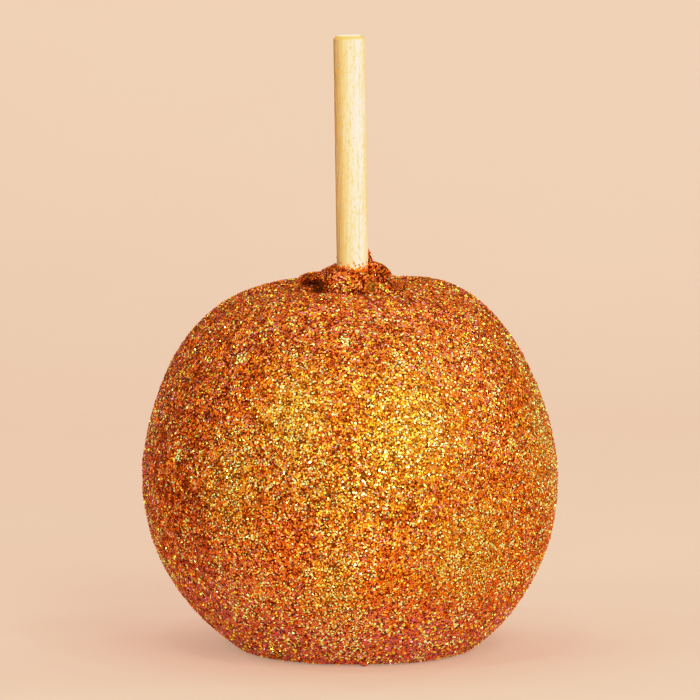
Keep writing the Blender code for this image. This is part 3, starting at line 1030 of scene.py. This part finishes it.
def thin_out(places, spacing):
    """Keeps only places that are at least the spacing apart, first come first served."""
    tree = KDTree(len(places))
    for index, place in enumerate(places):
        tree.insert(place, index)
    tree.balance()
    alive = np.ones(len(places), bool)
    for index, place in enumerate(places):
        if alive[index]:
            for _, other, _ in tree.find_range(place, spacing):
                if other > index:
                    alive[other] = False
    return np.nonzero(alive)[0]


def leaned(normals, lean, draw):
    """Normals turned by the given angles, each towards a random side."""
    side = np.cross(normals, draw.normal(size=normals.shape))
    side /= np.linalg.norm(side, axis=1, keepdims=True)
    return normals * np.cos(lean)[:, None] + side * np.sin(lean)[:, None]


def flake_widths(settings, steps):
    """Widths between the smallest (0) and the largest flake (1)."""
    return settings.width_low + (settings.width_high - settings.width_low) * steps


def tones(reach, count, draw):
    """Random places on the palette map, from the lowest tone up over the given span."""
    lowest, span = reach
    return lowest + span * draw.random((count, 2))


def lay_flakes(name, kind, settings, draw, places, ups, widths, palette, depth=1.0):
    """One piece of joined flakes of one kind, each copied from the flake form to its place."""
    corners, faces = flake_form()
    across = np.cross(ups, draw.normal(size=ups.shape))
    across /= np.linalg.norm(across, axis=1, keepdims=True)
    along = np.cross(ups, across)
    points = (
        places[:, None, :]
        + across[:, None, :] * (corners[None, :, 0, None] * widths[:, None, None])
        + along[:, None, :] * (corners[None, :, 1, None] * widths[:, None, None])
        + ups[:, None, :] * (corners[None, :, 2, None] * (settings.depth * depth))
    )
    starts = range(0, len(places) * len(corners), len(corners))
    rows = [[start + corner for corner in face] for start in starts for face in faces]
    mesh = bpy.data.meshes.new(name)
    mesh.from_pydata(points.reshape(-1, 3), [], rows)
    layer = mesh.uv_layers.new(name=PALETTE_MAP)
    vertex_of_loop = np.empty(len(mesh.loops), np.int32)
    mesh.loops.foreach_get("vertex_index", vertex_of_loop)
    spread = corners[:, :2] * FLAKE_ON_MAP
    uv = palette[vertex_of_loop // len(corners)] + spread[vertex_of_loop % len(corners)]
    layer.data.foreach_set("uv", uv.astype(np.float32).ravel())
    piece = bpy.data.objects.new(name, mesh)
    bpy.context.scene.collection.objects.link(piece)
    piece.data.materials.append(flake_material(kind, settings))
    keep(piece, COAT_SLOT)


def flake_places(settings, crust, draw):
    """Where the loose flakes lie on the crust, and the crust's normals there."""
    places, normals = surface_points(crust, int(settings.flakes * SPARE_PLACES), draw)
    free = (from_dowel(places) > FLAKE_CLEARANCE) & (places[:, 2] > FLAKE_FLOOR)
    places, normals = places[free], normals[free]
    kept = thin_out(places, settings.spacing)[: settings.flakes]
    places, normals = places[kept], normals[kept]
    collar = (from_dowel(places) < COLLAR_REACH) & (places[:, 2] > COLLAR_FOOT)
    # fewer flakes on bare spots, which in the collar's hollows are partly painted shade
    thinning = np.maximum(BARE_THINNING * bare_share(places)[0], COLLAR_THINNING * collar)
    for spots in FLAKE_AND_GLINT_SPOTS.values():
        thinning[near_spots(places, spots)] = 0.0
    stay = draw.random(len(places)) > thinning
    return places[stay], normals[stay]


def make_flakes(settings, coat, crust):
    """All loose flakes, one piece for each kind."""
    draw = np.random.default_rng(settings.seed)
    places, normals = flake_places(settings, crust, draw)
    count = len(places)
    wild = draw.random(count) < settings.wild_share
    lean = np.abs(draw.normal(size=count)) * np.where(wild, settings.wild_tilt, settings.tilt)
    ups = leaned(normals, np.minimum(lean, math.radians(STEEPEST_LEAN)), draw)
    widths = flake_widths(settings, draw.random(count) ** SMALL_FLAKES)
    places = places + normals * (draw.random(count) * settings.lift)[:, None]
    palette = tones(COAT_TONES, count, draw)
    # the clump level shifts each flake's shade, painted light and painted shade included
    clump = clumps_and_painted_light(places, coat.clump_size)
    palette[:, 1] = np.clip(palette[:, 1] + settings.clump_shade * (clump - 0.5), *TONE_LIMITS)
    mottle = settings.mottle * soft_noise(places, settings.mottle_size)
    # golden patches carry painted highlights on the front, rosy ones painted sheen at the edges
    below_top = np.clip((GOLD_TOP - places[:, 2]) / GOLD_FADE, 0.0, 1.0)
    golden = np.clip(patches(places, GOLD_AND_HIGHLIGHT_PATCHES) + mottle, 0.0, 1.0) * below_top
    rosy = np.clip(rosy_share(places) + mottle * 0.5, 0.0, 1.0) * (1.0 - golden)
    widths *= 1.0 + settings.rosy_growth * rosy - settings.golden_shrink * golden
    kinds = list(FLAKE_KINDS)
    mixes = np.array([FLAKE_KINDS[kind][:3] for kind in kinds])
    amount = np.stack([1.0 - golden - rosy, golden, rosy], axis=1) @ mixes.T
    # more dark copper flakes where the clump level is low, painted shade included
    amount[:, kinds.index("copper")] *= 1.0 + settings.cluster * (1.0 - 2.0 * clump)
    # the spots' flakes take their lightest tone: painted glints
    for kind, spots in FLAKE_AND_GLINT_SPOTS.items():
        inside = near_spots(places, spots) & (draw.random(count) < SPOT_SHARE[kind])
        amount[inside] = 0.0
        amount[inside, kinds.index(kind)] = 1.0
        palette[inside] = SPOT_GLINT_TONE
    levels = np.cumsum(amount, axis=1)
    sort = (draw.random((count, 1)) * levels[:, -1:] > levels).sum(1)
    for index, kind in enumerate(kinds):
        mine = [part[sort == index] for part in (places, ups, widths, palette)]
        lay_flakes("flakes_" + kind, kind, settings, draw, *mine)


def make_specks(settings):
    """Loose flakes that stick to the foot of the dowel, thinning out upwards."""
    draw = np.random.default_rng(settings.seed + 1)
    count = settings.specks
    turn = draw.random(count) * 2.0 * math.pi
    ragged = np.array([noise.noise(Vector((math.cos(a), math.sin(a), 0.3)) * 3.0) for a in turn])
    height = draw.exponential(settings.speck_reach, count) * (1.0 + SPECK_RAGGED * ragged)
    outward = np.stack([np.cos(turn), np.sin(turn), np.zeros(count)], axis=1)
    places = dowel_centre(COLLAR_TOP + height[:, None]) + outward * SPECK_RADIUS
    ups = leaned(outward, np.abs(draw.normal(size=count)) * settings.tilt, draw)
    widths = flake_widths(settings, draw.random(count))
    palette = tones(SPECK_TONES, count, draw)
    lay_flakes("dowel_specks", "flame", settings, draw, places, ups, widths, palette, SPECK_DEPTH)


# ---------------- dowel


def make_dowel(settings):
    """The dowel: a sanded rod on the CAD stick's axis, its top rim cut to a slope and worn."""
    low, high = stick_line()
    line = high - low
    upright = line.normalized()
    box_low, box_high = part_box(STICK_NODE)
    radius = (box_high.y - box_low.y) / 2 - settings.waver
    shoulder = line.length - settings.chamfer_height
    choose()
    bpy.ops.mesh.primitive_cylinder_add(
        vertices=DOWEL_SIDES,
        radius=radius,
        depth=shoulder,
        location=low + upright * (shoulder / 2),
        rotation=line.to_track_quat("Z", "Y").to_euler(),
    )
    dowel = named(bpy.context.object, "dowel")
    settle(dowel)
    rim = upright * settings.chamfer_height * RIM_RISE
    top = low + upright * (shoulder + settings.chamfer_height * RIM_RISE)
    narrow = 1.0 - settings.chamfer / radius
    edit(dowel, "FACE", [face.normal.dot(upright) > 0.9 for face in dowel.data.polygons])
    bpy.ops.mesh.extrude_region_move(TRANSFORM_OT_translate={"value": rim})
    bpy.ops.transform.resize(value=(narrow, narrow, 1.0), center_override=top)
    bpy.ops.transform.rotate(
        value=settings.slant, orient_axis="X", orient_type="GLOBAL", center_override=top
    )
    leave_edit()
    edit_edges(dowel, lambda start, end: min(start.z, end.z) > high.z - RIM_REACH)
    bpy.ops.mesh.bevel(offset=settings.chamfer * RIM_WEAR, segments=3, profile=0.5, affect="EDGES")
    leave_edit()
    edit_edges(dowel, lambda start, end: abs(start.z - end.z) > 0.5 * line.length)
    bpy.ops.mesh.subdivide(number_cuts=DOWEL_RINGS)
    leave_edit()
    roughen(dowel, "dowel_waver", WAVER_SIZE, settings.waver)
    choose(dowel)
    bpy.ops.object.shade_smooth_by_angle(angle=math.radians(35))
    points = vertex_array(dowel.data)
    # painted side light: 0 on the dowel's shaded left, 1 on its lit right
    across = (points - dowel_centre(points[:, 2:3]))[:, 0]
    add_attribute(dowel, SIDE_LIGHT_ATTRIBUTE, 0.5 + 0.5 * across / radius)
    height = ((points - np.array(low)) @ np.array(upright) - shoulder) / settings.chamfer_height
    add_attribute(dowel, CUT_ATTRIBUTE, np.clip(height + CUT_START, 0.0, 1.0))
    dowel.data.materials.append(wood_material(settings))
    keep(dowel, STICK_SLOT, STICK_NODE)


# ---------------- drip and lumps


def bead(name, place, radii, droop=0.0, lumps=0.1, lump_size=2.2):
    """A smooth bead of caramel: a rounded cube drawn out, drooping to the right, and made uneven.

    Place, radii and lump size are in millimetres, the droop in degrees.
    """
    choose()
    bpy.ops.mesh.primitive_cube_add(
        size=BEAD_CUBE, location=Vector(place) * MM, rotation=(0.0, math.radians(droop), 0.0)
    )
    piece = named(bpy.context.object, name)
    piece.scale = Vector(radii) * MM
    settle(piece)
    apply_modifier(piece, "SUBSURF", levels=4, render_levels=4)
    roughen(piece, name + "_lumps", lump_size * MM, min(radii) * MM * lumps)
    choose(piece)
    bpy.ops.object.shade_smooth()
    return piece


def make_drip(settings):
    """The small lip of caramel that ran out under the front of the foot."""
    drip = bead("foot_drip", (1.9, -23.7, 0.46), (0.8, 0.9, 0.42))
    drip.data.materials.append(caramel_material(settings))
    keep(drip, COAT_SLOT)


def make_lump(name, coat, settings):
    """A lump of glittered caramel on the collar, with the crust's finish and its own flakes."""
    lump = bead(name, *COLLAR_LUMPS[name], 0.3, 1.2)
    lump.data.materials.append(bpy.data.materials["glitter_crust"])
    lay_masks(lump, coat)
    draw = np.random.default_rng(settings.seed + 2)
    places, ups = surface_points(lump, LUMP_FLAKES, draw)
    lean = np.abs(draw.normal(size=LUMP_FLAKES)) * settings.wild_tilt * LUMP_LEAN
    ups = leaned(ups, lean, draw)
    widths = flake_widths(settings, draw.random(LUMP_FLAKES))
    palette = tones(LUMP_TONES, LUMP_FLAKES, draw)
    for kind, part in LUMP_KINDS.items():
        taken = draw.random(LUMP_FLAKES) < part
        mine = [values[taken] for values in (places, ups, widths, palette)]
        lay_flakes(name + "_" + kind, kind, settings, draw, *mine)
    keep(lump, COAT_SLOT)


# ---------------- stage


def add_camera(settings):
    """The camera, looking slightly down at the front of the apple."""
    place = Vector((settings.aim_side, -settings.camera_distance, settings.camera_height))
    aim = Vector((settings.aim_side, 0.0, settings.aim_height))
    data = bpy.data.cameras.new("camera")
    data.lens = settings.lens
    data.clip_start = 0.05
    data.clip_end = 20.0
    camera = bpy.data.objects.new("camera", data)
    camera.location = place
    camera.rotation_euler = (aim - place).to_track_quat("-Z", "Y").to_euler()
    bpy.context.scene.collection.objects.link(camera)
    bpy.context.scene.camera = camera


def add_softbox(name, brightness, bearing, rise_angle, distance, size, tint):
    """A softbox that faces the apple. Angles are in degrees, the bearing positive to the right."""
    bearing, rise_angle = math.radians(bearing), math.radians(rise_angle)
    out = math.cos(rise_angle)
    way = Vector((math.sin(bearing) * out, -math.cos(bearing) * out, math.sin(rise_angle)))
    data = bpy.data.lights.new(name, "AREA")
    data.shape = "RECTANGLE"
    data.size, data.size_y = size
    data.energy = brightness * math.pi * size[0] * size[1]
    data.color = tint
    light = bpy.data.objects.new(name, data)
    light.location = Vector(LIGHT_AIM) + way * distance
    light.rotation_euler = (-way).to_track_quat("-Z", "Y").to_euler()
    light.visible_camera = False
    bpy.context.scene.collection.objects.link(light)


def add_lights(settings):
    """The softboxes, and the small lamps that make single flakes glint."""
    for name, (setting, part, *rest) in SOFTBOXES.items():
        add_softbox(name, getattr(settings, setting) * part, *rest)
    for bearing, rise_angle in SPARKLE_LIGHTS:
        add_softbox(
            "sparkle", settings.sparkle, bearing, rise_angle, SPARKLE_DISTANCE, SPARKLE_SIZE, WHITE_LIGHT
        )


def add_sweep(settings):
    """Floor and low backdrop in one sheet with a round fold."""
    choose()
    bpy.ops.mesh.primitive_plane_add(size=SWEEP_SIZE, location=SWEEP_MIDDLE)
    sweep = named(bpy.context.object, "studio_sweep")
    settle(sweep)
    back = max(vertex.co.y for vertex in sweep.data.vertices) - MM
    edit_edges(sweep, lambda start, end: min(start.y, end.y) > back)
    bpy.ops.mesh.extrude_region_move(TRANSFORM_OT_translate={"value": SWEEP_RISE})
    leave_edit()
    edit_edges(sweep, lambda start, end: min(start.y, end.y) > back and max(start.z, end.z) < MM)
    bpy.ops.mesh.bevel(offset=SWEEP_FOLD, segments=32, affect="EDGES")
    bpy.ops.mesh.select_all(action="SELECT")
    bpy.ops.mesh.bisect(plane_co=(0.0, 0.0, SWEEP_TOP), plane_no=(0.0, 0.0, 1.0), clear_outer=True)
    bpy.ops.mesh.select_all(action="SELECT")
    bpy.ops.mesh.faces_shade_smooth()
    leave_edit()
    sweep.data.materials.append(floor_material(settings))


def set_tone_curve(view):
    """A film-like shoulder: bright flakes turn from orange to yellow before they burn out."""
    view.view_transform = "Standard"
    view.use_curve_mapping = True
    view.curve_mapping.white_level = (TONE_WHITE,) * 3
    curve = view.curve_mapping.curves[3]
    for light, tone in TONE_CURVE:
        curve.points.new(light / TONE_WHITE, tone)
    view.curve_mapping.update()


def add_room_light(settings):
    """Even pale light from all round."""
    world = bpy.data.worlds.new("room")
    world.use_nodes = True
    background = world.node_tree.nodes["Background"]
    set_inputs(background, {"Color": ROOM_LIGHT, "Strength": settings.ambient})
    bpy.context.scene.world = world


# ---------------- operators


class APPLE_OT_stage(bpy.types.Operator):
    """Set up the paper sweep, the lights and the camera"""

    bl_idname = "caramel_apple.stage"
    bl_label = "Stage"

    def execute(self, context):
        settings = context.scene.apple_stage
        set_tone_curve(context.scene.view_settings)
        add_camera(settings)
        add_sweep(settings)
        add_room_light(settings)
        add_lights(settings)
        return {"FINISHED"}


class APPLE_OT_crust(bpy.types.Operator):
    """Lay the glitter crust over the apple"""

    bl_idname = "caramel_apple.crust"
    bl_label = "Glitter crust"

    def execute(self, context):
        make_crust(context.scene.apple_coat)
        return {"FINISHED"}


class APPLE_OT_flakes(bpy.types.Operator):
    """Lay the loose glitter flakes on the crust and on the foot of the dowel"""

    bl_idname = "caramel_apple.flakes"
    bl_label = "Loose flakes"

    def execute(self, context):
        scene = context.scene
        make_flakes(scene.apple_glitter, scene.apple_coat, bpy.data.objects["glitter_crust"])
        make_specks(scene.apple_glitter)
        return {"FINISHED"}


class APPLE_OT_drip(bpy.types.Operator):
    """Add the caramel drip under the foot and the glittered lumps of the collar"""

    bl_idname = "caramel_apple.drip"
    bl_label = "Drip and lumps"

    def execute(self, context):
        make_drip(context.scene.apple_caramel)
        for name in COLLAR_LUMPS:
            make_lump(name, context.scene.apple_coat, context.scene.apple_glitter)
        return {"FINISHED"}


class APPLE_OT_dowel(bpy.types.Operator):
    """Shape the wooden dowel"""

    bl_idname = "caramel_apple.dowel"
    bl_label = "Dowel"

    def execute(self, context):
        make_dowel(context.scene.apple_stick)
        return {"FINISHED"}


STEPS = (APPLE_OT_stage, APPLE_OT_crust, APPLE_OT_flakes, APPLE_OT_drip, APPLE_OT_dowel)
SETTINGS = {
    "apple_coat": CoatSettings,
    "apple_glitter": GlitterSettings,
    "apple_caramel": CaramelSettings,
    "apple_stick": StickSettings,
    "apple_stage": StageSettings,
}


class APPLE_PT_panel(bpy.types.Panel):
    """Lists the steps and settings of the caramel apple"""

    bl_idname = "APPLE_PT_panel"
    bl_label = "Caramel apple"
    bl_space_type = "VIEW_3D"
    bl_region_type = "UI"
    bl_category = "Caramel apple"

    def draw(self, context):
        for step in STEPS:
            self.layout.operator(step.bl_idname)
        for label, group in SETTINGS.items():
            box = self.layout.box()
            for name in group.__annotations__:
                box.prop(getattr(context.scene, label), name)


def register():
    """Registers the settings, the steps and the panel."""
    for label, group in SETTINGS.items():
        bpy.utils.register_class(group)
        setattr(bpy.types.Scene, label, PointerProperty(type=group))
    for item in (*STEPS, APPLE_PT_panel):
        bpy.utils.register_class(item)


def unregister():
    """Takes everything back that register added."""
    for item in reversed((*STEPS, APPLE_PT_panel)):
        bpy.utils.unregister_class(item)
    for label, group in SETTINGS.items():
        delattr(bpy.types.Scene, label)
        bpy.utils.unregister_class(group)


def corners(box):
    """A box as plain lists of numbers."""
    return [[float(value) for value in corner] for corner in box]


def main():
    """Registers the steps, then builds the stage and every piece."""
    register()
    for step in STEPS:
        group, name = step.bl_idname.split(".")
        getattr(getattr(bpy.ops, group), name)()


if __name__ == "__main__":
    main()
